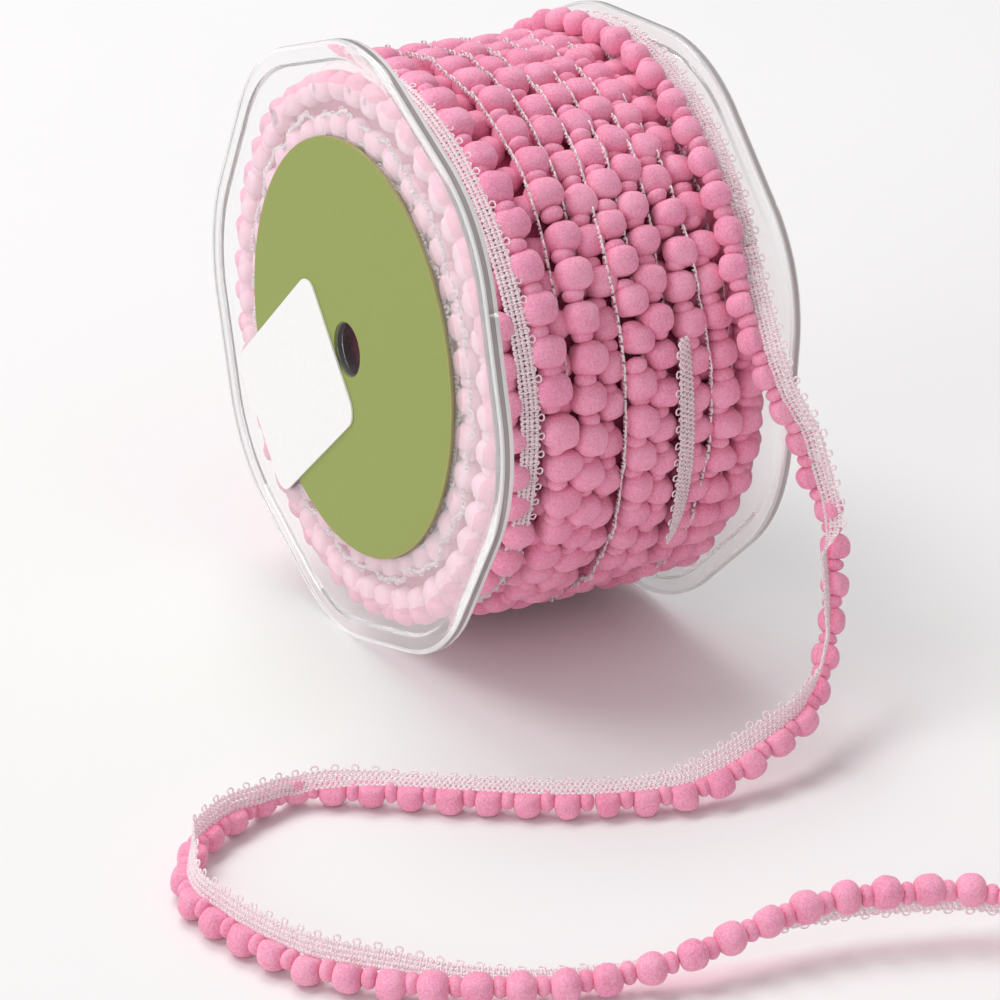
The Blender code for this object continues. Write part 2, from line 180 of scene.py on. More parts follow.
class Recipe:
    """Material in the making: its node tree and the Principled shader that it ends in."""

    def __init__(self, name: str) -> None:
        """Start the material.

        Args:
            name: the material's name.
        """
        self.material = bpy.data.materials.new(name)
        self.material.use_nodes = True
        self.tree = self.material.node_tree
        self.shader = self.tree.nodes["Principled BSDF"]
        self.place = add_node(self.tree, "ShaderNodeTexCoord").outputs["Object"]

    def grain(
        self, size_mm: float, detail: float, roughness: float = 0.5
    ) -> bpy.types.NodeSocket:
        """Add noise that keeps its place on the object.

        Args:
            size_mm: size of one grain.
            detail: number of finer octaves.
            roughness: how strong those are.

        Returns:
            Its value, 0.5 on average.
        """
        noise = add_node(
            self.tree, "ShaderNodeTexNoise",
            {"Scale": 1.0 / (size_mm * MM), "Detail": detail, "Roughness": roughness},
            {"Vector": self.place},
        )
        return noise.outputs["Fac"]

    def stretch(
        self, value: bpy.types.NodeSocket, source: tuple[float, float],
        target: tuple[float, float] = (0.0, 1.0),
    ) -> bpy.types.NodeSocket:
        """Map one range of a value to another.

        Args:
            value: what is mapped.
            source: its lowest and highest value.
            target: what those turn to.

        Returns:
            The mapped value.
        """
        limits = dict(zip(("From Min", "From Max", "To Min", "To Max"), source + target))
        return add_node(self.tree, "ShaderNodeMapRange", limits, {"Value": value}).outputs[0]

    def blend(
        self, share: bpy.types.NodeSocket, first: str | bpy.types.NodeSocket, second: str
    ) -> bpy.types.NodeSocket:
        """Mix two colours.

        Args:
            share: how much there is of the second.
            first: hex colour or another mix.
            second: hex colour.

        Returns:
            The mix.
        """
        settings = {"data_type": "RGBA", 7: linear(second)}
        links = {0: share}
        if isinstance(first, str):
            settings[6] = linear(first)
        else:
            links[6] = first
        return add_node(self.tree, "ShaderNodeMix", settings, links).outputs[2]

    def carve(self, height: bpy.types.NodeSocket, strength: float, depth_mm: float) -> None:
        """Give the surface a relief.

        Args:
            height: its height, from 0 to 1.
            strength: how much of it is felt.
            depth_mm: what a height of 1 stands for.
        """
        settings = {"Strength": strength, "Distance": depth_mm * MM}
        relief = add_node(self.tree, "ShaderNodeBump", settings, {"Height": height})
        self.feed("Normal", relief.outputs[0])

    def feed(self, name: str, output: bpy.types.NodeSocket) -> None:
        """Link an output to the shader's input of this name."""
        self.tree.links.new(output, self.shader.inputs[name])

    def set_uniform(self, values: dict[str, float | tuple[float, ...]]) -> None:
        """Set values that are the same all over, straight on the shader's inputs."""
        for name, value in values.items():
            self.shader.inputs[name].default_value = value

    def let_light_through(self, tint: str) -> None:
        """Let the lamps shine through, so that the shadow is a light one.

        Args:
            tint: what is left of white light behind one surface.
        """
        rays = add_node(self.tree, "ShaderNodeLightPath")
        passing = add_node(self.tree, "ShaderNodeBsdfTransparent", {"Color": linear(tint)})
        mix = add_node(
            self.tree, "ShaderNodeMixShader", {},
            {0: rays.outputs["Is Shadow Ray"], 1: self.shader.outputs[0], 2: passing.outputs[0]},
        )
        self.tree.links.new(mix.outputs[0], self.tree.nodes["Material Output"].inputs["Surface"])


class Finish:
    """Finish of a real material; each kind lays out its own recipe."""

    name: str

    def lay_out(self, recipe: Recipe) -> None:
        """Add what the finish is made of to the recipe."""
        raise NotImplementedError

    def build(self) -> bpy.types.Material:
        """Make the material.

        Returns:
            The finished material.
        """
        recipe = Recipe(self.name)
        self.lay_out(recipe)
        return recipe.material


@dataclass(frozen=True)
class BrushedYarn(Finish):
    """Brushed polyester yarn, clipped to pompoms: soft, matte, with a fine felted grain."""

    name: str
    light: str
    deep: str
    sheen: str = "#FFE8F4"
    grain_mm: float = 0.36
    patch_mm: float = 9.0
    patch_share: float = 0.3
    contrast: tuple[float, float] = (0.36, 0.62)
    bump_mm: float = 0.14

    def lay_out(self, recipe: Recipe) -> None:
        """Mix large patches with the fine felt."""
        patches = recipe.grain(self.patch_mm, detail=2.0)
        felt = recipe.grain(self.grain_mm, detail=2.0, roughness=0.6)
        felt_part = add_node(
            recipe.tree, "ShaderNodeMath",
            {"operation": "MULTIPLY", 1: 1.0 - self.patch_share}, {0: felt},
        )
        both = add_node(
            recipe.tree, "ShaderNodeMath",
            {"operation": "MULTIPLY_ADD", 1: self.patch_share},
            {0: patches, 2: felt_part.outputs[0]},
        )
        spread = recipe.stretch(both.outputs[0], self.contrast)
        recipe.feed("Base Color", recipe.blend(spread, self.deep, self.light))
        recipe.carve(felt, strength=0.9, depth_mm=self.bump_mm)
        recipe.set_uniform({
            "Roughness": 0.95, "Specular IOR Level": 0.15, "Sheen Weight": 0.5,
            "Sheen Roughness": 0.35, "Sheen Tint": linear(self.sheen),
        })


@dataclass(frozen=True)
class KnittedFilament(Finish):
    """Shiny nylon filament, warp knitted: pale pink and bright, as light shines through it."""

    name: str
    light: str
    deep: str
    behind: str = "#FCF0F4"
    patch_mm: float = 0.45
    contrast: tuple[float, float] = (0.35, 0.65)
    bump_mm: float = 0.07
    clearness: float = 0.12

    def lay_out(self, recipe: Recipe) -> None:
        """Vary it along its twist."""
        twist = recipe.grain(self.patch_mm, detail=3.0, roughness=0.7)
        spread = recipe.stretch(twist, self.contrast)
        recipe.feed("Base Color", recipe.blend(spread, self.deep, self.light))
        recipe.carve(twist, strength=0.7, depth_mm=self.bump_mm)
        recipe.set_uniform({"Roughness": 0.25, "IOR": 1.53, "Transmission Weight": self.clearness})
        recipe.let_light_through(self.behind)


@dataclass(frozen=True)
class ClearPolystyrene(Finish):
    """Moulded crystal polystyrene: clear and polished, with a milky haze from the mould; copies
    with a strong haze serve as painted highlight and painted shade on the flange rims.
    """

    name: str
    haze: float
    tint: str = "#FDFDFD"
    behind: str = "#F2F2F3"
    flow_mm: float = 14.0
    bump_mm: float = 0.2

    def lay_out(self, recipe: Recipe) -> None:
        """Make it wavy from the mould, and clear."""
        flow = recipe.grain(self.flow_mm, detail=1.0)
        recipe.carve(flow, strength=0.15, depth_mm=self.bump_mm)
        recipe.set_uniform({
            "Base Color": linear(self.tint), "Roughness": 0.03, "IOR": 1.5,
            "Transmission Weight": 1.0 - self.haze,
        })
        recipe.let_light_through(self.behind)


@dataclass(frozen=True)
class PrintedPaper(Finish):
    """Uncoated label paper, printed all over: matte, with a faint fibre and a band of the edge
    colour at its rim.
    """

    name: str
    light: str
    deep: str
    edge: str
    centre: Vector
    edge_radius_mm: float
    # Width of the band at the rim that blends to the edge colour.
    rim_band_mm: float = 0.7
    fibre_mm: float = 0.45
    bump_mm: float = 0.03

    def lay_out(self, recipe: Recipe) -> None:
        """Speckle the ink with fibre, and turn the rim to the edge colour."""
        fibre = recipe.grain(self.fibre_mm, detail=4.0, roughness=0.7)
        reach = add_node(
            recipe.tree, "ShaderNodeVectorMath",
            {"operation": "DISTANCE", 1: tuple(self.centre)}, {0: recipe.place},
        )
        inside = (self.edge_radius_mm - self.rim_band_mm) * MM
        rim = recipe.stretch(reach.outputs["Value"], (inside, self.edge_radius_mm * MM))
        ink = recipe.blend(fibre, self.deep, self.light)
        recipe.feed("Base Color", recipe.blend(rim, ink, self.edge))
        recipe.carve(fibre, strength=0.35, depth_mm=self.bump_mm)
        recipe.set_uniform({"Roughness": 0.75})


@dataclass(frozen=True)
class CoatedPaper(Finish):
    """Coated sticker paper, calendered: smooth and white, with a slight satin gloss."""

    name: str
    white: str
    deep: str = "#F1F0EE"
    gloss: tuple[float, float] = (0.38, 0.52)
    fibre_mm: float = 0.8
    bump_mm: float = 0.02

    def lay_out(self, recipe: Recipe) -> None:
        """Vary the gloss a little with the fibre."""
        fibre = recipe.grain(self.fibre_mm, detail=3.0)
        recipe.feed("Roughness", recipe.stretch(fibre, (0.0, 1.0), self.gloss))
        recipe.feed("Base Color", recipe.blend(fibre, self.deep, self.white))
        recipe.carve(fibre, strength=0.2, depth_mm=self.bump_mm)


@dataclass(frozen=True)
class StudioPaper(Finish):
    """Seamless background paper, matte and near white."""

    name: str = "studio_paper"
    white: str = "#F2F1F1"
    deep: str = "#F0EFEF"
    patch_mm: float = 160.0

    def lay_out(self, recipe: Recipe) -> None:
        """Vary the tone slightly."""
        tone = recipe.grain(self.patch_mm, detail=1.0)
        recipe.feed("Base Color", recipe.blend(tone, self.deep, self.white))
        recipe.set_uniform({"Roughness": 0.9, "Specular IOR Level": 0.2})


class JoinedMesh:
    """Points in metres and faces of many parts, gathered for one object."""

    def __init__(self) -> None:
        """Start with nothing."""
        self.points: list[np.ndarray] = []
        self.faces: list[list[int]] = []
        self.count = 0

    def add(self, points: np.ndarray, faces: np.ndarray | list) -> None:
        """Add one part.

        Args:
            points: places as rows of x, y, z.
            faces: point numbers of each face, counted within the part.
        """
        self.points.append(points)
        if isinstance(faces, np.ndarray):
            self.faces.extend((faces + self.count).tolist())
        else:
            self.faces.extend([[number + self.count for number in face] for face in faces])
        self.count += len(points)

    def add_closed(self, rings: np.ndarray) -> None:
        """Add a sweep that closes on itself, facing outwards."""
        points, quads = closed_sweep(rings, around=True)
        self.add(points, outward(points, quads))

    def keep_above_floor(self) -> None:
        """Press what would lie below the floor flat on it."""
        for points in self.points:
            points[:, 2] = np.maximum(points[:, 2], FLOOR_AIR_MM * MM)

    def keep_between(self, axis: np.ndarray, start: float, end: float) -> None:
        """Press what would reach past two planes flat on them.

        Args:
            axis: direction square to both planes.
            start: place of the first plane along it, in metres.
            end: place of the second.
        """
        for points in self.points:
            reach = points @ axis
            points += (np.clip(reach, start, end) - reach)[:, None] * axis

    def build(
        self, name: str, material: bpy.types.Material, sharp_angle: float | None = None
    ) -> bpy.types.Object:
        """Make the object, shaded smooth.

        Args:
            name: the object's name.
            material: its only material.
            sharp_angle: edges sharper than this many degrees stay crisp.

        Returns:
            The new object.
        """
        mesh = bpy.data.meshes.new(name)
        mesh.from_pydata(np.concatenate(self.points).tolist(), [], self.faces)
        mesh.update()
        mesh.shade_smooth()
        if sharp_angle is not None:
            mesh.set_sharp_from_angle(angle=math.radians(sharp_angle))
        mesh.materials.append(material)
        obj = bpy.data.objects.new(name, mesh)
        bpy.context.scene.collection.objects.link(obj)
        return obj


def dress(obj: bpy.types.Object, node: str) -> bpy.types.Object:
    """Put a piece in its CAD node's place.

    Args:
        obj: the piece.
        node: the CAD node that it stands for.

    Returns:
        The piece.
    """
    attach(obj, "root")
    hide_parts(node)
    return obj


def circle(count: int, radius: float = 1.0) -> np.ndarray:
    """Points evenly round a circle, as y and z."""
    angles = np.linspace(0, 2 * math.pi, count, endpoint=False)
    return radius * np.stack([np.cos(angles), np.sin(angles)], axis=1)


def closed_sweep(rings: np.ndarray, around: bool) -> tuple[np.ndarray, np.ndarray]:
    """Join rings of points with quads.

    Args:
        rings: array of rings, each a loop of points.
        around: whether the last ring joins the first.

    Returns:
        Points and quads.
    """
    rows, count, _ = rings.shape
    last = rows if around else rows - 1
    row = np.arange(last)[:, None] * count
    after = (np.arange(last)[:, None] + 1) % rows * count
    step = np.arange(count)[None, :]
    ahead = (step + 1) % count
    quads = np.stack([row + step, row + ahead, after + ahead, after + step], axis=-1)
    return rings.reshape(-1, 3), quads.reshape(-1, 4)


def outward(points: np.ndarray, quads: np.ndarray) -> np.ndarray:
    """Quads of a closed mesh, reversed when they face inwards.

    Args:
        points: its points.
        quads: its quads.

    Returns:
        The quads, facing outwards.
    """
    corners = points[quads]
    first = np.cross(corners[:, 1], corners[:, 2])
    second = np.cross(corners[:, 2], corners[:, 3])
    volume = (corners[:, 0] * (first + second)).sum()
    return quads if volume > 0 else quads[:, ::-1]


def unit(vectors: np.ndarray) -> np.ndarray:
    """The same directions with a length of 1."""
    return vectors / np.maximum(np.linalg.norm(vectors, axis=-1, keepdims=True), 1e-12)


def read_rows(at: np.ndarray, known: np.ndarray, table: np.ndarray) -> np.ndarray:
    """Rows of a table of vectors at any places between the known ones."""
    return np.stack([np.interp(at, known, table[:, axis]) for axis in range(3)], axis=1)


class TrimLine:
    """Line of pompom centres with the directions that the trim has along it.

    travel runs along the trim, side points from the pompoms to the tape, width runs
    across the tape from its inner edge. A pompom's thickness lies square to travel and side.
    """

    def __init__(
        self, centres: np.ndarray, sides: np.ndarray, widths: np.ndarray | None = None
    ) -> None:
        """Measure the line.

        Args:
            centres: pompom line in metres.
            sides: direction to the tape at each point.
            widths: direction across the tape at each point, the same as sides if left out.
        """
        steps = np.linalg.norm(np.diff(centres, axis=0), axis=1)
        self.lengths = np.concatenate([[0.0], np.cumsum(steps)])
        self.total = float(self.lengths[-1])
        self.centres = centres
        self.travels = unit(np.gradient(centres, self.lengths, axis=0))
        self.sides = self.square_to_travel(sides)
        self.widths = self.sides if widths is None else self.square_to_travel(widths)

    def square_to_travel(self, vectors: np.ndarray) -> np.ndarray:
        """Directions turned square to the line, one for each of its points."""
        along = np.sum(vectors * self.travels, axis=1, keepdims=True)
        return unit(vectors - self.travels * along)

    def read(self, table: np.ndarray, lengths: np.ndarray) -> np.ndarray:
        """Values of one table of vectors at these lengths."""
        return read_rows(lengths, self.lengths, table)

    def at(self, lengths: np.ndarray) -> tuple[np.ndarray, np.ndarray, np.ndarray, np.ndarray]:
        """Read the line at some lengths.

        Args:
            lengths: distances from its start in metres.

        Returns:
            Centres, travels, sides and widths, one row for each length.
        """
        centre = self.read(self.centres, lengths)
        tables = (self.travels, self.sides, self.widths)
        travel, side, width = (unit(self.read(table, lengths)) for table in tables)
        return centre, travel, side, width


def cube_sphere(cuts: int) -> tuple[np.ndarray, np.ndarray]:
    """Unit sphere of evenly sized quads.

    Args:
        cuts: quads along each edge of the cube that it is blown up from.

    Returns:
        Points and quads, facing outwards.
    """
    numbers: dict[tuple[int, int, int], int] = {}
    points: list[tuple[float, float, float]] = []
    faces: list[list[int]] = []

    def number_of(cell: tuple[int, int, int]) -> int:
        """Find the point on a grid cell, or make it when it is new.

        Args:
            cell: the cell's place on the cube.

        Returns:
            The point's number.
        """
        if cell not in numbers:
            numbers[cell] = len(points)
            points.append(tuple(math.tan((value / cuts - 0.5) * math.pi / 2) for value in cell))
        return numbers[cell]

    for axis in range(3):
        for end in (0, cuts):
            for first in range(cuts):
                for second in range(cuts):
                    corners = []
                    for a, b in ((0, 0), (1, 0), (1, 1), (0, 1)):
                        cell = [0, 0, 0]
                        cell[axis] = end
                        cell[(axis + 1) % 3] = first + a
                        cell[(axis + 2) % 3] = second + b
                        corners.append(number_of(tuple(cell)))
                    faces.append(corners if end else corners[::-1])
    return unit(np.array(points)), np.array(faces)


@dataclass(frozen=True)
class Pompom:
    """One pompom: a barrel of clipped yarn, a little squared and uneven.

    flat_at is how far it reaches to the tape's side before it is pressed flat there.
    """

    length: float
    width: float
    thickness: float
    squareness: float = 2.4
    unevenness: float = 0.014
    cuts: int = 5
    flat_at: float = 9.0
    flatness: float = 0.75
    size_spread: float = 0.035
    wave_count: int = 5
    wave_spread: float = 2.1
    turn_spread: float = 7.0

    def add_row(
        self,
        mesh: JoinedMesh,
        line: TrimLine,
        lengths: np.ndarray,
        rng: np.random.Generator,
        shift: float = 0.0,
        looseness: float = 0.15,
    ) -> None:
        """Add pompoms along a line of trim.

        Args:
            mesh: where they go.
            line: the trim that they sit on.
            lengths: their places along it in metres.
            rng: source of their unevenness.
            shift: how far they sit towards the tape, in millimetres.
            looseness: how far each may stray from its place, in millimetres.
        """
        ball, quads = cube_sphere(self.cuts)
        reach = (np.abs(ball) ** self.squareness).sum(axis=1) ** (-1 / self.squareness)
        ball = ball * reach[:, None]
        count = len(lengths)
        sizes = np.array([self.length, self.width, self.thickness]) / 2
        sizes = sizes * (1 + rng.normal(0, self.size_spread, (count, 3)))
        waves = rng.normal(0, self.wave_spread, (count, self.wave_count, 3))
        phases = rng.uniform(0, 2 * math.pi, (count, self.wave_count))
        swell = np.sin(np.einsum("nwk,vk->nwv", waves, ball) + phases[:, :, None]).sum(axis=1)
        local = ball[None] * (1 + self.unevenness * swell[:, :, None]) * sizes[:, None, :]
        turn = rng.normal(0, math.radians(self.turn_spread), count)
        cos, sin = np.cos(turn)[:, None], np.sin(turn)[:, None]
        along = local[..., 0] * cos - local[..., 1] * sin
        across = local[..., 0] * sin + local[..., 1] * cos
        across = across - self.flatness * np.maximum(across - self.flat_at, 0.0)
        centre, travel, side, _ = line.at(lengths)
        away = np.cross(travel, side)
        centre = centre + side * shift * MM
        centre = centre + rng.normal(0, looseness * MM / 2, (count, 3))
        points = (
            centre[:, None]
            + travel[:, None] * along[..., None] * MM
            + side[:, None] * across[..., None] * MM
            + away[:, None] * local[..., 2:3] * MM
        )
        offsets = (np.arange(count) * len(ball))[:, None, None]
        mesh.add(points.reshape(-1, 3), (quads[None] + offsets).reshape(-1, 4))


@dataclass(frozen=True)
class KnittedTape:
    """Knitted tape along one edge of the pompoms, with picot loops at its outer edge."""

    inner: float = 2.6
    width: float = 3.3
    stitch: float = 1.02
    sway: float = 0.22
    yarn: float = 0.5
    laid_yarn: float = 0.4
    cross_pitch: float = 1.79
    picot_reach: float = 1.0
    bead: float = 0.0
    lean: float = 0.16
    rise: float = 0.17
    laid_rise: float = 0.08
    wander: float = 0.0
    wander_lengths: tuple[float, float] = (2.9, 1.3)
    sides: int = 4
    stitch_steps: int = 8

    def tube(
        self, mesh: JoinedMesh, line: TrimLine, route: np.ndarray, thickness: float | np.ndarray
    ) -> None:
        """Add one yarn.

        Args:
            mesh: where it goes.
            line: the trim that it belongs to.
            route: length along the line in metres, then place across the tape and height
                over its middle in millimetres, one row for each point.
            thickness: the yarn's diameter in millimetres, one value or one for each point.
        """
        centre, travel, side, width = line.at(route[:, 0])
        face = np.cross(travel, width)
        phase = line.centres[0, 0] / MM
        long, short = (route[:, :1] / (length * MM) for length in self.wander_lengths)
        drift = np.sin(long + phase) + 0.7 * np.sin(short - phase)
        across = route[:, 1:2] + self.wander * drift
        middle = centre + side * self.inner * MM
        middle = middle + width * across * MM + face * route[:, 2:3] * MM
        heading = unit(np.gradient(middle, axis=0))
        first = unit(np.cross(heading, face))
        second = np.cross(heading, first)
        angles = np.arange(self.sides) * 2 * math.pi / self.sides
        circle = (
            first[:, None] * np.cos(angles)[None, :, None]
            + second[:, None] * np.sin(angles)[None, :, None]
        )
        radius = np.broadcast_to(np.asarray(thickness) / 2 * MM, (len(route),))
        rings = middle[:, None] + circle * radius[:, None, None]
        points, quads = closed_sweep(rings, around=False)
        mesh.add(points, quads)

    def chain(
        self,
        mesh: JoinedMesh,
        line: TrimLine,
        across: float,
        start: float,
        end: float,
        mirror: int = 1,
    ) -> None:
        """Add one lengthwise chain of stitches.

        Args:
            mesh: where it goes.
            line: the trim that it belongs to.
            across: its place across the tape in millimetres.
            start: where it starts along the line, in metres.
            end: where it ends.
            mirror: 1 or -1, so that next chains bow towards each other.
        """
        stitches = max(2, int((end - start) / (self.stitch * MM)))
        turns = np.arange(stitches * self.stitch_steps + 1) / self.stitch_steps
        pitch = (end - start) / stitches
        along = start + pitch * (turns - self.lean * np.sin(4 * math.pi * turns))
        bowed = across + mirror * self.sway * np.sin(2 * math.pi * turns)
        beat = np.cos(4 * math.pi * turns)
        route = np.stack([np.clip(along, start, end), bowed, self.rise * beat], axis=1)
        self.tube(mesh, line, route, self.yarn * (1 + self.bead * beat))

    def laid_in(
        self, mesh: JoinedMesh, line: TrimLine, start: float, end: float, from_width: float
    ) -> None:
        """Add the yarn that crosses the tape and stands out in picot loops.

        Args:
            mesh: where it goes.
            line: the trim that it belongs to.
            start: where it starts along the line, in metres.
            end: where it ends.
            from_width: where its crossings start across the tape, in millimetres.
        """
        edge = self.width
        reach = self.picot_reach
        middle = (from_width + edge) / 2
        plain = ((0.42, from_width), (0.40, middle), (0.40, edge - 0.1), (0.2, edge + 0.2))
        picot = ((0.42, from_width), (0.38, middle), (0.36, edge - 0.1),
                 (0.66, edge + reach * 0.5), (0.45, edge + reach * 0.9))
        loops = [
            [(-along, across) for along, across in half] + top + list(half[::-1])
            for half, top in ((plain, []), (picot, [(0.0, edge + reach)]))
        ]
        crossings = max(2, int((end - start) / (self.cross_pitch * MM)))
        pitch = (end - start) / crossings
        rows = []
        for number in range(crossings):
            centre = start + (number + 0.5) * pitch
            for shift, across in loops[number % 2]:
                lift = self.laid_rise * math.sin(number * 2.4 + across * 2)
                rows.append((centre + shift * MM, across, lift))
        self.tube(mesh, line, np.array(rows), self.laid_yarn)

    def knit(
        self,
        mesh: JoinedMesh,
        line: TrimLine,
        start: float,
        end: float,
        chains: tuple[float, ...] = (0.25, 1.15, 2.05, 2.95),
    ) -> None:
        """Add a length of tape.

        Args:
            mesh: where it goes.
            line: the trim that it belongs to.
            start: where it starts along the line, in metres.
            end: where it ends.
            chains: places of its chains across the tape in millimetres.
        """
        for number, across in enumerate(chains):
            self.chain(mesh, line, across, start, end, 1 - number % 2 * 2)
        self.laid_in(mesh, line, start, end, min(chains))


class Face(Enum):
    """The two faces of the spool, by the sign of their place along the axis."""

    LABEL = -1
    FAR = 1


@dataclass(frozen=True)
class Spool:
    """Clear spool: two rounded octagonal flanges on a tube, standing a little tipped."""

    across_flats: float = 120.0
    overall_width: float = 66.0
    corner_radius: float = 34.5
    corner_steps: int = 14
    rim_thickness: float = 2.4
    plate_thickness: float = 1.3
    border_width: float = 3.5
    border_slope: float = 0.6
    edge_radius: float = 0.35
    bright_band: float = 1.0
    bore_radius: float = 5.4
    tube_radius: float = 7.5
    tube_steps: int = 64
    fit: float = 0.02
    label_side_turn: float = -17.0
    tilt: float = 1.77297
    axis_height: float = 60.99227
    label_radius: float = 42.0
    label_thickness: float = 0.6
    label_hole_air: float = 0.15
    label_edge: float = 0.08
    label_steps: int = 160
    sticker_length: float = 44.0
    sticker_height: float = 32.0
    sticker_thickness: float = 0.42
    sticker_corner: float = 4.0
    sticker_corner_steps: int = 12
    sticker_edge: float = 0.06
    sticker_edge_depth: float = 0.05
    sticker_y: float = 22.4
    sticker_z: float = -15.6
    sticker_turn: float = -41.5
    crisp_plastic: float = 28.0
    crisp_paper: float = 35.0

    @property
    def inner_half(self) -> float:
        """Half of the room between the flanges."""
        return self.overall_width / 2 - self.rim_thickness

    @property
    def label_front(self) -> float:
        """Place of the label's front along the axis."""
        return -(self.inner_half + self.plate_thickness) - self.label_thickness

    def label_centre(self) -> Vector:
        """Middle of the label's front, in metres."""
        return Vector(self.placed(np.array([self.label_front, 0.0, 0.0])).tolist())

    def turned(self, directions: np.ndarray) -> np.ndarray:
        """Tip directions as the spool's axis is.

        Args:
            directions: rows of x, y, z about an axis along x.

        Returns:
            The same directions in the room.
        """
        cos, sin = math.cos(math.radians(self.tilt)), math.sin(math.radians(self.tilt))
        x = directions[..., 0] * cos + directions[..., 2] * sin
        z = -directions[..., 0] * sin + directions[..., 2] * cos
        return np.stack([x, directions[..., 1], z], axis=-1)

    def placed(self, points: np.ndarray) -> np.ndarray:
        """Places in metres of points given in millimetres about the spool's axis."""
        return (self.turned(points) + (0.0, 0.0, self.axis_height)) * MM

    def octagon(self, inset: float, turn: float) -> np.ndarray:
        """Draw a flange's outline.

        Args:
            inset: how far inside the flange's edge it runs.
            turn: the flange's turn about the axis in degrees.

        Returns:
            Its points, as y and z.
        """
        reach = self.across_flats / 2 - self.corner_radius
        corner = reach / math.cos(math.radians(22.5))
        radius = self.corner_radius - inset
        outline = []
        for side in range(8):
            middle = math.radians(45.0 * side + 22.5 + turn)
            for step in range(self.corner_steps + 1):
                angle = math.radians(45.0 * side + 45.0 * step / self.corner_steps + turn)
                y = corner * math.cos(middle) + radius * math.cos(angle)
                z = corner * math.sin(middle) + radius * math.sin(angle)
                outline.append((y, z))
        return np.array(outline)

    def ring_like(self, outline: np.ndarray, radius: float) -> np.ndarray:
        """Circle whose points lie at the angles of another outline's."""
        angles = np.arctan2(outline[:, 1], outline[:, 0])
        return np.stack([radius * np.cos(angles), radius * np.sin(angles)], axis=1)

    def stacked(self, profile: list[tuple[np.ndarray, float]]) -> np.ndarray:
        """Outlines placed at their x, as rings in metres."""
        rings = [np.column_stack([np.full(len(outline), x), outline]) for outline, x in profile]
        return self.placed(np.array(rings))

    def turned_piece(
        self, profile: list[tuple[np.ndarray, float]], name: str, material: bpy.types.Material,
        sharp_angle: float,
    ) -> bpy.types.Object:
        """Build a piece that runs round the axis.

        Args:
            profile: its outlines, each with its place along the axis.
            name: the piece's name.
            material: its first material.
            sharp_angle: edges sharper than this many degrees stay crisp.

        Returns:
            The new piece.
        """
        mesh = JoinedMesh()
        mesh.add_closed(self.stacked(profile))
        return mesh.build(name, material, sharp_angle)

    def flange(
        self, face: Face, plastic: bpy.types.Material, edges: tuple[bpy.types.Material, ...]
    ) -> bpy.types.Object:
        """Build one flange with softened edges.

        Args:
            face: which of the two.
            plastic: what its plate is made of.
            edges: copies of the plastic for the corners and the rim of this flange, with painted
                highlight and painted shade in their haze and tint.

        Returns:
            The flange, which stands for its CAD node.
        """
        side = face.value
        turn = self.label_side_turn if face is Face.LABEL else 0.0
        outer = side * self.overall_width / 2
        inner = side * self.inner_half
        plate = inner + side * self.plate_thickness
        soft = self.edge_radius
        bevel, groove = soft * 0.3, soft * 0.4
        foot = self.border_width + self.border_slope
        insets = (
            (soft, inner), (bevel, inner + side * bevel), (0.0, inner + side * soft),
            (0.0, inner + side * self.bright_band), (0.0, outer - side * soft),
            (bevel, outer - side * bevel), (soft, outer), (self.bright_band, outer),
            (self.border_width - soft, outer), (self.border_width, outer - side * groove),
            (foot, plate + side * groove), (foot + soft, plate),
        )
        edge = self.octagon(0.0, turn)
        bore = self.ring_like(edge, self.bore_radius)
        bore_soft = self.ring_like(edge, self.bore_radius + soft / 2)
        profile = [(bore, inner + side * soft / 2), (bore_soft, inner)]
        profile += [(self.octagon(inset, turn), x) for inset, x in insets]
        profile += [(bore_soft, plate), (bore, plate - side * soft / 2)]
        node = "flange_label_side" if face is Face.LABEL else "flange_far_side"
        obj = self.turned_piece(profile, f"{node}_moulded", plastic, self.crisp_plastic)
        for material in edges:
            obj.data.materials.append(material)
        # Rim rows take the copies: index 1 the painted highlight, index 2 the painted shade band.
        painted_edge_rows = ((2, 1), (3, 1), (4, 1), (5, 2), (6, 1), (7, 1), (8, 1))
        for row, index in painted_edge_rows:
            for number in range(row * len(edge), (row + 1) * len(edge)):
                obj.data.polygons[number].material_index = index
        return dress(obj, node)

    def tube(self, plastic: bpy.types.Material) -> bpy.types.Object:
        """Build the hub tube.

        Args:
            plastic: what it is made of.

        Returns:
            The tube, which stands for its CAD node.
        """
        half = self.inner_half - self.fit
        bore = circle(self.tube_steps, self.bore_radius)
        skin = circle(self.tube_steps, self.tube_radius)
        profile = [(bore, -half), (skin, -half), (skin, half), (bore, half)]
        obj = self.turned_piece(profile, "hub_tube_moulded", plastic, self.crisp_plastic)
        return dress(obj, "hub_tube")

    def label(self, paper: bpy.types.Material) -> bpy.types.Object:
        """Build the round paper label, glued to the plate.

        Args:
            paper: what it is made of.

        Returns:
            The label, which stands for its CAD node.
        """
        front = self.label_front
        back = front + self.label_thickness - self.fit
        hole = self.bore_radius + self.label_hole_air
        edge = self.label_edge
        corners = (
            (hole, back), (self.label_radius, back), (self.label_radius, front + edge),
            (self.label_radius - edge, front), (hole + edge, front), (hole, front + edge),
        )
        profile = [(circle(self.label_steps, radius), x) for radius, x in corners]
        obj = self.turned_piece(profile, "paper_label_printed", paper, self.crisp_paper)
        return dress(obj, "paper_label")

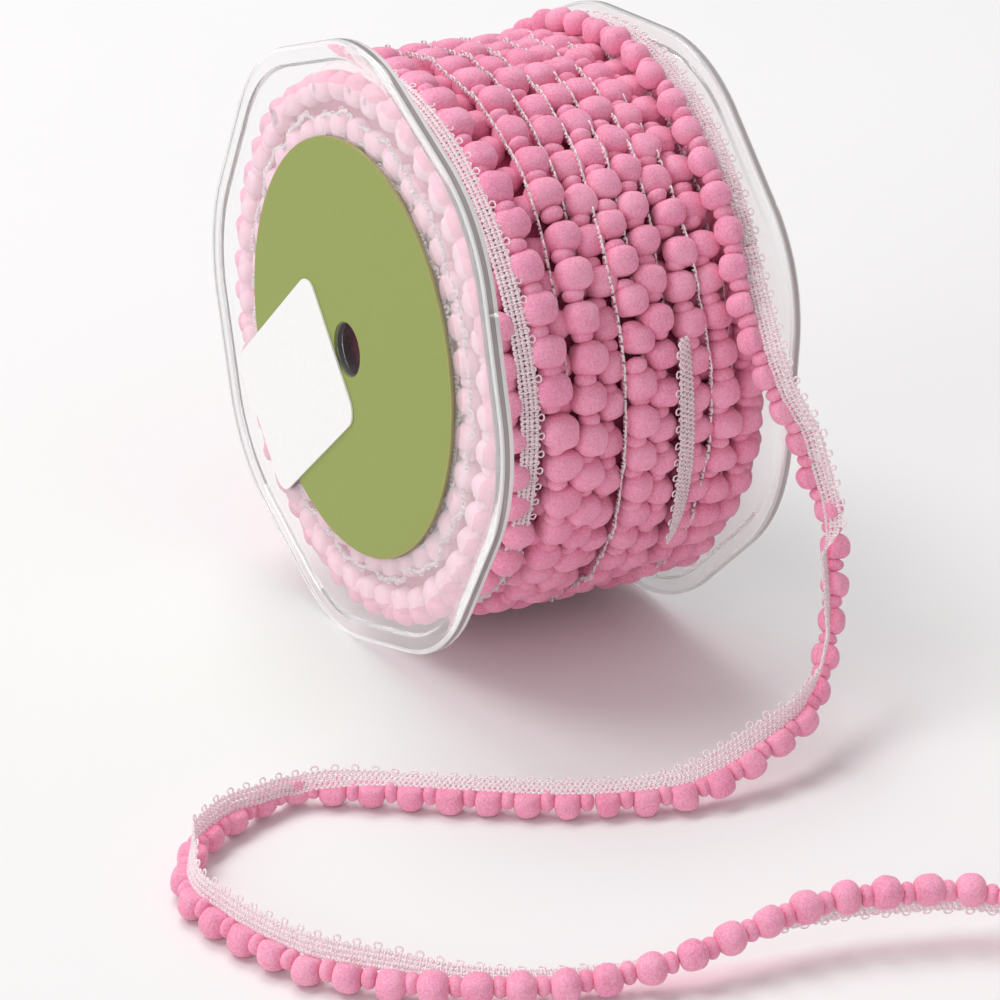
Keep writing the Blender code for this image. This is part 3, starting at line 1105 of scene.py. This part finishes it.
    def sticker_outline(self, inset: float) -> np.ndarray:
        """Draw the sticker's rounded rectangle on the face.

        Args:
            inset: how far inside the sticker's edge it runs.

        Returns:
            Its points, as y and z.
        """
        half_length = self.sticker_length / 2 - self.sticker_corner
        half_height = self.sticker_height / 2 - self.sticker_corner
        radius = self.sticker_corner - inset
        turn = math.radians(self.sticker_turn)
        steps = self.sticker_corner_steps
        outline = []
        for corner, (sign_y, sign_z) in enumerate(((1, 1), (-1, 1), (-1, -1), (1, -1))):
            for step in range(steps + 1):
                angle = math.radians(90.0 * (corner + step / steps))
                y = sign_y * half_length + radius * math.cos(angle)
                z = sign_z * half_height + radius * math.sin(angle)
                turned_y = y * math.cos(turn) - z * math.sin(turn)
                turned_z = y * math.sin(turn) + z * math.cos(turn)
                outline.append((self.sticker_y + turned_y, self.sticker_z + turned_z))
        return np.array(outline)

    def sticker(self, paper: bpy.types.Material) -> bpy.types.Object:
        """Build the blank sticker, which lies on the label and beyond it.

        Args:
            paper: what it is made of.

        Returns:
            The sticker, which stands for its CAD node.
        """
        front = -self.overall_width / 2
        whole = self.sticker_outline(0.0)
        drawn_in = self.sticker_outline(self.sticker_edge)
        rings = self.stacked([
            (whole, front + self.sticker_thickness),
            (whole, front + self.sticker_edge_depth),
            (drawn_in, front),
        ])
        points, quads = closed_sweep(rings, around=False)
        count = len(whole)
        ends = [list(range(count)), list(range(2 * count, 3 * count))[::-1]]
        mesh = JoinedMesh()
        mesh.add(points, quads[:, ::-1].tolist() + ends)
        obj = mesh.build("blank_sticker_coated", paper, self.crisp_paper)
        return dress(obj, "blank_sticker")


@dataclass(frozen=True)
class Turn:
    """One turn of the wound trim: where its pompoms run and how its tape stands.

    knots are rows of degrees, x, radius and lift, where lift is the angle of the tape's
    width over the axis. Degrees count from the front upwards. A sink grows between the two
    sink_degrees, down the front, and stops at sink_end.
    """

    knots: tuple[tuple[float, float, float, float], ...]
    tape_side: int = -1
    start: float = -180.0
    end: float = 180.0
    pitch: float = 7.16
    pompom_width: float = 6.5
    tape_sink: float = 2.4
    step: float = 0.5
    smoothing: int = 41
    sink_degrees: tuple[float, float] = (50.0, 30.0)
    sink_end: float = -90.0

    def line(self, spool: Spool, sink: float = 0.0) -> TrimLine:
        """Turn the knots to a line of trim that runs down the front.

        Args:
            spool: the spool that it is wound on.
            sink: how deep it lies over the front of the roll, in millimetres.

        Returns:
            The line, from its highest degrees to its lowest.
        """
        table = np.array(self.knots)
        fine = np.arange(-180.0, 180.0, self.step)
        smooth = np.ones(self.smoothing) / self.smoothing
        half = self.smoothing // 2
        columns = []
        for column in (1, 2, 3):
            values = np.interp(fine, table[:, 0], table[:, column], period=360.0)
            wrapped = np.concatenate([values[-half:], values, values[:half]])
            columns.append(np.convolve(wrapped, smooth, mode="valid"))
        degrees = np.arange(self.end, self.start - 0.1, -self.step)
        x, radius, lift = (np.interp(degrees, fine, values, period=360.0) for values in columns)
        angle = np.radians(degrees)
        shallow, deep = self.sink_degrees
        share = np.clip((shallow - degrees) / (shallow - deep), 0.0, 1.0)
        radius = radius - sink * share * (degrees > self.sink_end)
        centres = np.stack([x, -radius * np.cos(angle), radius * np.sin(angle)], axis=1)
        away = np.stack([np.zeros_like(angle), -np.cos(angle), np.sin(angle)], axis=1)
        axial = np.zeros_like(away)
        axial[:, 0] = self.tape_side
        rise = np.radians(lift)[:, None]
        widths = axial * np.cos(rise) + away * np.sin(rise)
        return TrimLine(spool.placed(centres), spool.turned(axial), spool.turned(widths))


# Turns of the outer layer that show between and beside each other
OUTER_TURNS = (
    Turn(((-45, -12.5, 54.0, 40), (-25, -13.5, 54.2, 40), (-10, -15.5, 54.4, 30),
          (7, -18.2, 54.6, 14), (20, -19.5, 54.6, 12), (40, -20.2, 54.6, 12),
          (60, -21.6, 54.6, 18), (90, -21.8, 54.4, 30), (180, -19.0, 54.2, 50)), pitch=7.7,
         pompom_width=7.3),
    Turn(((-45, -7.5, 54.2, 62), (-25, -8.8, 54.2, 62), (-10, -10.0, 54.2, 62),
          (20, -10.6, 54.6, 60), (60, -11.1, 54.6, 58), (90, -11.6, 54.4, 62),
          (180, -9.5, 54.2, 62)), pitch=7.7, pompom_width=6.9, tape_sink=2.8),
    Turn(((-45, -3.0, 53.4, 66), (-10, -4.6, 52.4, 70), (20, -4.8, 52.0, 70), (40, -4.5, 53.2, 66),
          (60, -3.9, 54.0, 64), (90, -3.4, 54.2, 64), (180, -3.4, 54.2, 64)), pitch=7.6),
    Turn(((-45, 4.6, 54.2, 66), (-27, 3.0, 54.3, 64), (-10, 0.9, 54.7, 62), (21, 0.1, 54.7, 62),
          (36, -0.2, 54.5, 62), (60, 2.4, 54.3, 64), (90, 2.6, 54.2, 66), (180, 4.0, 54.2, 66)),
         pitch=7.5, tape_sink=0.4),
    Turn(((-33, 9.4, 54.2, 66), (-11, 6.4, 54.2, 70), (5, 5.6, 54.2, 72), (37, 5.8, 54.2, 70),
          (60, 8.0, 54.3, 66), (90, 8.8, 54.2, 66), (180, 10.4, 54.2, 66))),
    Turn(((-45, 17.0, 54.2, 60), (-30, 16.4, 54.2, 40), (-21, 16.0, 54.0, 8), (-8, 14.4, 54.0, 6),
          (8, 13.0, 54.0, 8), (16, 12.4, 54.2, 36), (37, 12.2, 54.4, 66), (60, 13.7, 54.4, 66),
          (90, 14.6, 54.2, 66), (180, 16.8, 54.2, 66))),
    Turn(((-45, 22.8, 54.0, 66), (-19, 20.6, 54.3, 62), (2, 20.2, 54.4, 62), (18, 18.4, 54.3, 66),
          (37, 18.1, 54.0, 70), (60, 18.6, 53.6, 70), (90, 19.6, 53.4, 70), (180, 22.0, 53.8, 66)),
         tape_sink=0.3),
    Turn(((-45, 27.2, 53.4, 80), (-10, 26.6, 53.4, 78), (25, 25.2, 52.4, 78), (60, 25.4, 51.8, 78),
          (180, 27.0, 53.2, 80))),
)

# Line that the tape along the labelled flange hangs on
EDGE_TAPE_TURN = Turn(
    ((-45, -25.8, 54.0, 5), (-25, -26.1, 54.0, 8), (-10, -27.1, 54.2, 14), (7, -27.6, 54.6, 20),
     (20, -28.6, 54.8, 22), (40, -29.4, 55.0, 22), (60, -30.2, 55.0, 22), (90, -30.7, 54.6, 20),
     (180, -29.0, 54.2, 20)),
    tape_side=1,
)

# Turns of the layer below, which show in the gaps
UNDER_TURNS = (
    Turn(((-45, -27.2, 53.6, 80), (-25, -20.4, 53.8, 78), (-10, -26.0, 52.6, 78),
          (20, -27.0, 52.0, 80), (90, -27.4, 51.6, 80), (180, -27.2, 53.4, 80))),
    Turn(((0, -15.4, 51.2, 70),)),
    Turn(((0, -7.2, 50.2, 70),)),
    Turn(((0, 3.2, 49.6, 70),)),
    Turn(((0, 9.6, 49.8, 70),)),
    Turn(((0, 16.8, 49.6, 70),)),
    Turn(((0, 22.6, 49.4, 70),)),
)

# The turn that lies on top along the far flange, where the loose end comes from
LAST_TURN = Turn(
    ((28.6, 21.8, 58.4, 8), (60, 21.8, 58.6, 18), (125, 22.4, 58.5, 18), (172, 23.4, 54.4, 14),
     (200, 23.4, 54.4, 14), (-20, 21.8, 58.2, 8)),
    tape_side=1, start=28.6, end=170.0,
)


@dataclass(frozen=True)
class WoundTrim:
    """Trim wound on the spool: a core of packed yarn, darkened as painted shade, with the turns
    that show.

    side_rings and side_tapes hold one row of radii for each face, the labelled one first.
    """

    spool: Spool
    yarn: bpy.types.Material
    shaded_yarn: bpy.types.Material
    painted_light_yarn: bpy.types.Material
    tape: bpy.types.Material
    pitch: float = 7.159
    core_radius: float = 50.6
    core_inner: float = 7.8
    core_air: float = 3.4
    core_rows: int = 14
    core_columns: int = 25
    core_step: float = 3.0
    relief: float = 0.5
    relief_from: float = 9.0
    ridge_bumps: int = 48
    side_bumps: int = 37
    outer_phase: float = 0.37
    under_phase: float = 0.61
    side_phase: float = 0.43
    side_rings: tuple[tuple[float, ...], tuple[float, ...]] = (
        (51.2, 43.6), (51.8, 44.2, 36.6, 29.0, 21.4, 14.0),
    )
    side_ring_x: float = 27.8
    side_air: float = 0.15
    side_tapes: tuple[tuple[float, ...], tuple[float, ...]] = (
        (44.1, 39.3), (44.7, 37.1, 29.5, 21.9),
    )
    side_tape_x: float = 26.9
    side_tape_lift: float = 89.0
    strip_sink: float = -2.6
    strip_degrees: tuple[float, float] = (17.0, -30.0)
    # Side pompom faces past this depth and within this radius get the paler yarn: painted light for
    # the milky brightness seen through the flanges.
    painted_light_from: float = 28.3
    painted_light_within: float = 52.2

    def core(self) -> bpy.types.Object:
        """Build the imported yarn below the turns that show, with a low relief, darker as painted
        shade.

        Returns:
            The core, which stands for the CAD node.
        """
        half = self.spool.inner_half - self.core_air
        rows, columns = self.core_rows, self.core_columns
        radii = np.concatenate([
            np.linspace(self.core_inner, self.core_radius, rows),
            np.full(columns, self.core_radius),
            np.linspace(self.core_radius, self.core_inner, rows),
        ])
        middle = np.linspace(-half, half, columns + 2)[1:-1]
        xs = np.concatenate([np.full(rows, -half), middle, np.full(rows, half)])
        angles = np.radians(np.arange(0.0, 360.0, self.core_step))
        rings = []
        for x, radius in zip(xs, radii):
            relief = self.relief * (radius > self.relief_from)
            ridges = np.sin(angles * self.ridge_bumps + x * 1.7) * np.sin(x * 0.82 + 0.4)
            bumps = np.sin(angles * self.side_bumps + radius * 1.15)
            reach = radius + relief * ridges * (abs(x) < half)
            place = x + relief * bumps * (abs(x) >= half)
            rings.append(np.stack([place, -reach * np.cos(angles), reach * np.sin(angles)], axis=1))
        mesh = JoinedMesh()
        mesh.add_closed(self.spool.placed(np.array(rings)))
        return dress(mesh.build("wound_core", self.shaded_yarn), "wound_trim")

    def press_between_flanges(self, mesh: JoinedMesh) -> np.ndarray:
        """Press what would reach into the flanges flat against them.

        Args:
            mesh: wound trim, not yet built.

        Returns:
            Direction of the spool's axis.
        """
        axis = self.spool.turned(np.array([1.0, 0.0, 0.0]))
        middle = float(self.spool.placed(np.zeros(3)) @ axis)
        half = (self.spool.inner_half - self.side_air) * MM
        mesh.keep_between(axis, middle - half, middle + half)
        return axis

    def places(
        self, line: TrimLine, phase: float, spacing: float | None = None
    ) -> tuple[np.ndarray, np.ndarray]:
        """Space the pompoms evenly round a closed turn.

        Args:
            line: the turn's line.
            phase: share of a pitch that they are moved on.
            spacing: about how far apart they are in millimetres, the trim's pitch if left out.

        Returns:
            Lengths of the large and of the small ones.
        """
        count = int(round(line.total / ((spacing or self.pitch) * MM)))
        pitch = line.total / count
        large = (np.arange(count) + phase) % count * pitch
        small = (np.arange(count) + phase + 0.5) % count * pitch
        return np.sort(large), np.sort(small)

    def outer_pompoms(self) -> bpy.types.Object:
        """Build the pompoms of the outer layer.

        Returns:
            One joined piece.
        """
        rng = np.random.default_rng(11)
        mesh = JoinedMesh()
        small = Pompom(length=3.0, width=4.2, thickness=4.0, squareness=2.2, cuts=3)
        for number, turn in enumerate(OUTER_TURNS):
            large = Pompom(
                length=turn.pitch - 1.4, width=turn.pompom_width, thickness=6.2,
                squareness=2.7, unevenness=0.02,
            )
            line = turn.line(self.spool)
            phase = (number * self.outer_phase) % 1.0
            big_places, small_places = self.places(line, phase, turn.pitch)
            large.add_row(mesh, line, big_places, rng, looseness=0.7)
            small.add_row(mesh, line, small_places, rng, shift=0.6, looseness=0.7)
        self.press_between_flanges(mesh)
        return dress(mesh.build("wound_pompoms", self.yarn), "wound_trim")

    def under_pompoms(self) -> bpy.types.Object:
        """Build the pompoms below the outer layer and those at the sides of the roll, whose faces
        against the flanges get a paler yarn as painted light.

        Returns:
            One joined piece.
        """
        rng = np.random.default_rng(12)
        mesh = JoinedMesh()
        large = Pompom(length=5.8, width=6.8, thickness=6.2, cuts=3)
        small = Pompom(length=2.8, width=4.0, thickness=4.0, cuts=2)
        side = Pompom(length=5.9, width=6.9, thickness=5.8, cuts=4)
        for number, turn in enumerate(UNDER_TURNS):
            line = turn.line(self.spool)
            big_places, _ = self.places(line, (number * self.under_phase + 0.3) % 1.0)
            large.add_row(mesh, line, big_places, rng, looseness=0.6)
        for face, radii in zip(Face, self.side_rings):
            for number, radius in enumerate(radii):
                knot = (0, face.value * self.side_ring_x, radius, 60)
                line = Turn((knot,), tape_side=-face.value).line(self.spool)
                big_places, small_places = self.places(line, (number * self.side_phase) % 1.0)
                side.add_row(mesh, line, big_places, rng, looseness=0.5)
                small.add_row(mesh, line, small_places, rng, looseness=0.4)
        axis = self.press_between_flanges(mesh)
        obj = mesh.build("wound_side_pompoms", self.yarn)
        obj.data.materials.append(self.painted_light_yarn)
        # Faces next to the flanges take the paler copy of the yarn, which is painted light.
        hub = np.array([0.0, 0.0, self.spool.axis_height * MM])
        for polygon in obj.data.polygons:
            place = np.array(polygon.center) - hub
            depth = float(place @ axis)
            radius = float(np.linalg.norm(place - depth * axis))
            if abs(depth) > self.painted_light_from * MM and radius < self.painted_light_within * MM:
                polygon.material_index = 1
        return dress(obj, "wound_trim")

    def tapes(self) -> list[bpy.types.Object]:
        """Build the tape edges that show between the turns.

        Returns:
            The joined pieces, in two halves of the roll and one for its sides.
        """
        narrow = KnittedTape(
            inner=3.0, width=2.3, stitch=1.75, sway=0.36, yarn=0.58, bead=0.5, picot_reach=0.6,
            wander=0.7, sides=3,
        )
        full = KnittedTape()
        pieces = []
        for name, turns in (("left", OUTER_TURNS[:3]), ("right", OUTER_TURNS[3:])):
            mesh = JoinedMesh()
            for turn in turns:
                line = turn.line(self.spool, turn.tape_sink)
                if turn is OUTER_TURNS[0]:
                    line = EDGE_TAPE_TURN.line(self.spool)
                    full.knit(mesh, line, 0.0, line.total)
                else:
                    narrow.knit(mesh, line, 0.0, line.total, chains=(1.9,))
                if turn is OUTER_TURNS[5]:
                    line = turn.line(self.spool, self.strip_sink)
                    ends = (line.total * (180.0 - end) / 360.0 for end in self.strip_degrees)
                    KnittedTape(inner=2.2).knit(mesh, line, *ends)
            self.press_between_flanges(mesh)
            piece = mesh.build(f"wound_tape_{name}", self.tape)
            pieces.append(dress(piece, "wound_trim"))
        mesh = JoinedMesh()
        for face, radii in zip(Face, self.side_tapes):
            for radius in radii:
                knot = (0, face.value * self.side_tape_x, radius, self.side_tape_lift)
                line = Turn((knot,), tape_side=face.value).line(self.spool)
                narrow.knit(mesh, line, 0.0, line.total, chains=(2.0,))
        piece = mesh.build("wound_tape_sides", self.tape)
        return pieces + [dress(piece, "wound_trim")]

    def last_turn(self) -> list[bpy.types.Object]:
        """Build the turn that lies on top, up to where the loose end leaves it.

        Returns:
            Its pompoms and its tape.
        """
        rng = np.random.default_rng(13)
        line = LAST_TURN.line(self.spool)
        count = int(line.total / (self.pitch * MM))
        large_places = line.total - (np.arange(count) + 0.5) * self.pitch * MM
        small_places = line.total - np.arange(count) * self.pitch * MM
        mesh = JoinedMesh()
        large = Pompom(
            length=5.3, width=5.6, thickness=5.2, unevenness=0.02, cuts=6, flat_at=1.9
        )
        small = Pompom(length=2.7, width=3.7, thickness=3.6, cuts=4)
        large.add_row(mesh, line, large_places, rng, looseness=0.4)
        small.add_row(mesh, line, small_places, rng, shift=0.5)
        pompoms = mesh.build("last_turn_pompoms", self.yarn)
        mesh = JoinedMesh()
        KnittedTape(inner=2.3).knit(mesh, line, 0.0, line.total)
        tape = mesh.build("last_turn_tape", self.tape)
        return [
            dress(pompoms, "wound_trim"), dress(tape, "wound_trim")
        ]


@dataclass(frozen=True)
class LooseEnd:
    """Loose end of the trim: it falls off the roll and loops over the floor."""

    yarn: bpy.types.Material
    tape: bpy.types.Material
    count: int = 57
    tape_inner: float = 2.1
    tape_middle: float = 1.65
    fine: int = 24
    path_points: int = 400

    def line(self) -> TrimLine:
        """Turn the route table to a smooth line of trim.

        Returns:
            The line, from the roll to its end.
        """
        table = np.array(ROUTE)
        folds = np.array(FOLDS)
        rows = np.arange((len(table) - 1) * self.fine + 1) / self.fine
        row = np.minimum(rows.astype(int), len(table) - 2)
        part = (rows - row)[:, None]
        before = table[np.maximum(row - 1, 0)]
        start = table[row]
        end = table[row + 1]
        after = table[np.minimum(row + 2, len(table) - 1)]
        smooth = (
            start
            + (end - before) * 0.5 * part
            + (before - start * 2.5 + end * 2.0 - after * 0.5) * part**2
            + ((start - end) * 1.5 + (after - before) * 0.5) * part**3
        )
        sides = read_rows(rows, folds[:, 0], folds[:, 1:4])
        widths = read_rows(rows, folds[:, 0], folds[:, 4:7])
        return TrimLine(smooth * MM, unit(sides), unit(widths))

    def build(self) -> list[bpy.types.Object]:
        """Returns:
            The tape and the pompoms.
        """
        rng = np.random.default_rng(14)
        line = self.line()
        pitch = line.total / self.count
        mesh = JoinedMesh()
        large = Pompom(
            length=5.2, width=5.7, thickness=5.3, unevenness=0.02, cuts=8, flat_at=1.9
        )
        small = Pompom(length=2.7, width=3.8, thickness=3.7, squareness=2.2)
        large.add_row(mesh, line, (np.arange(self.count) + 0.5) * pitch, rng)
        small.add_row(mesh, line, np.arange(1, self.count) * pitch, rng, shift=0.5)
        mesh.keep_above_floor()
        pompoms = mesh.build("loose_pompoms_clipped", self.yarn)
        dress(pompoms, "loose_pompoms")
        mesh = JoinedMesh()
        KnittedTape(inner=self.tape_inner).knit(mesh, line, 0.0, line.total)
        mesh.keep_above_floor()
        tape = mesh.build("loose_tape_knitted", self.tape)
        dress(tape, "loose_tape")
        lengths = np.linspace(0.0, line.total, self.path_points)
        centre, _, side, width = line.at(lengths)
        path = centre + side * self.tape_inner * MM + width * self.tape_middle * MM
        path[:, 2] = np.maximum(path[:, 2], self.tape_middle * MM / 2)
        return [tape, pompoms]


@dataclass(frozen=True)
class Studio:
    """Pale floor, soft light and the camera."""

    floor_side: float = 6.0
    azimuth: float = -30.2123
    look_down: float = 24.8162
    roll: float = 0.0679
    camera_place: tuple[float, float, float] = (-0.257818, -0.446782, 0.260377)
    focal_length: float = 98.2545
    sensor: float = 36.0
    clip: tuple[float, float] = (0.01, 20.0)
    lamps: tuple[tuple[str, tuple[float, float, float], float, float], ...] = (
        ("left_softbox", (-0.5, 0.3, 1.0), 1.3, 22.0),
        ("top_softbox", (0.1, 0.5, 1.0), 1.3, 23.0),
        ("fill_card", (-1.0, -0.3, 0.35), 1.6, 14.0),
    )
    lamp_distance: float = 2.6
    sky_strength: float = 0.45

    def floor(self) -> bpy.types.Object:
        """Lay the floor.

        Returns:
            The floor.
        """
        half = self.floor_side / 2
        mesh = JoinedMesh()
        signs = np.array([(-1, -1, 0), (1, -1, 0), (1, 1, 0), (-1, 1, 0)])
        mesh.add(signs * half, [[0, 1, 2, 3]])
        obj = mesh.build("floor", StudioPaper().build())
        return obj

    def camera(self) -> bpy.types.Object:
        """Place the camera at the photograph's viewpoint.

        Returns:
            The scene's camera.
        """
        azimuth, down = math.radians(self.azimuth), math.radians(self.look_down)
        forward = Vector((
            -math.sin(azimuth) * math.cos(down), math.cos(azimuth) * math.cos(down), -math.sin(down)
        ))
        right = Vector((math.cos(azimuth), math.sin(azimuth), 0.0))
        up = right.cross(forward)
        axes = Matrix((right, up, -forward)).transposed()
        turn = axes @ Matrix.Rotation(math.radians(-self.roll), 3, "Z")
        data = bpy.data.cameras.new("camera")
        data.lens = self.focal_length
        data.sensor_width = self.sensor
        data.clip_start, data.clip_end = self.clip
        camera = bpy.data.objects.new("camera", data)
        camera.matrix_world = Matrix.Translation(self.camera_place) @ turn.to_4x4()
        bpy.context.scene.collection.objects.link(camera)
        bpy.context.scene.camera = camera
        return camera

    def lights(self) -> None:
        """Hang the large soft lamps and set the pale surround."""
        for name, towards, size, power in self.lamps:
            direction = Vector(towards).normalized()
            data = bpy.data.lights.new(name, "AREA")
            data.shape = "DISK"
            data.size = size
            data.energy = power
            lamp = bpy.data.objects.new(name, data)
            lamp.location = direction * self.lamp_distance
            lamp.rotation_euler = direction.to_track_quat("Z", "Y").to_euler()
            bpy.context.scene.collection.objects.link(lamp)
        world = bpy.data.worlds.new("surround")
        world.use_nodes = True
        background = world.node_tree.nodes["Background"]
        background.inputs["Color"].default_value = linear("#FFFEFE")
        background.inputs["Strength"].default_value = self.sky_strength
        bpy.context.scene.world = world
        bpy.context.scene.view_settings.view_transform = "Standard"


def main() -> None:
    """Build the studio and every piece of the roll, in order."""
    logging.basicConfig(level=logging.INFO, format="%(name)s: %(message)s")
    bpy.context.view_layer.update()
    studio = Studio()
    studio.camera()
    studio.lights()
    studio.floor()
    yarn = BrushedYarn("brushed_pink_yarn", light="#FDB4CE", deep="#EE8BAF").build()
    # The core's darker copy of the yarn is painted shade for the gaps between the turns.
    shaded_yarn = BrushedYarn("pink_yarn_painted_shade", light="#D96E93", deep="#BB4C78").build()
    # Paler copy of the yarn: painted light on the side pompoms seen through the flanges.
    painted_light_yarn = BrushedYarn("pink_yarn_painted_light", light="#FFD6E4", deep="#F9BCD1").build()
    filament = KnittedFilament("knitted_pink_filament", light="#FFFFFF", deep="#FBD9E4").build()
    plastic = ClearPolystyrene("hazy_moulded_polystyrene", haze=0.13).build()
    far_plastic = ClearPolystyrene("moulded_clear_polystyrene", haze=0.07).build()
    # Rim copies of the plastic: the white one is painted highlight, the grey and pale ones are
    # painted shade bands.
    bright = ClearPolystyrene("polystyrene_edge_painted_highlight", haze=0.6, tint="#FFFFFF").build()
    edge_painted_shade = ClearPolystyrene("polystyrene_edge_painted_shade", haze=0.65, tint="#A99E9F").build()
    pale = ClearPolystyrene("polystyrene_far_edge_painted_shade", haze=0.35, tint="#FFF6F8").build()
    spool = Spool()
    paper = PrintedPaper(
        "printed_green_paper", light="#9EAA5F", deep="#8E9A4E", edge="#A49C66",
        centre=spool.label_centre(), edge_radius_mm=spool.label_radius,
    ).build()
    sticker = CoatedPaper("coated_white_paper", white="#FBFAF9").build()
    pieces = LooseEnd(yarn, filament).build()
    pieces += [
        spool.flange(Face.LABEL, plastic, (bright, edge_painted_shade)),
        spool.flange(Face.FAR, far_plastic, (bright, pale)),
        spool.tube(far_plastic),
        spool.label(paper),
        spool.sticker(sticker),
    ]
    roll = WoundTrim(spool, yarn, shaded_yarn, painted_light_yarn, filament)
    pieces += [roll.core(), roll.outer_pompoms(), roll.under_pompoms()]
    pieces += roll.tapes() + roll.last_turn()
    for piece in pieces:
        LOG.info("built %s, %d faces", piece.name, len(piece.data.polygons))


if __name__ == "__main__":
    main()
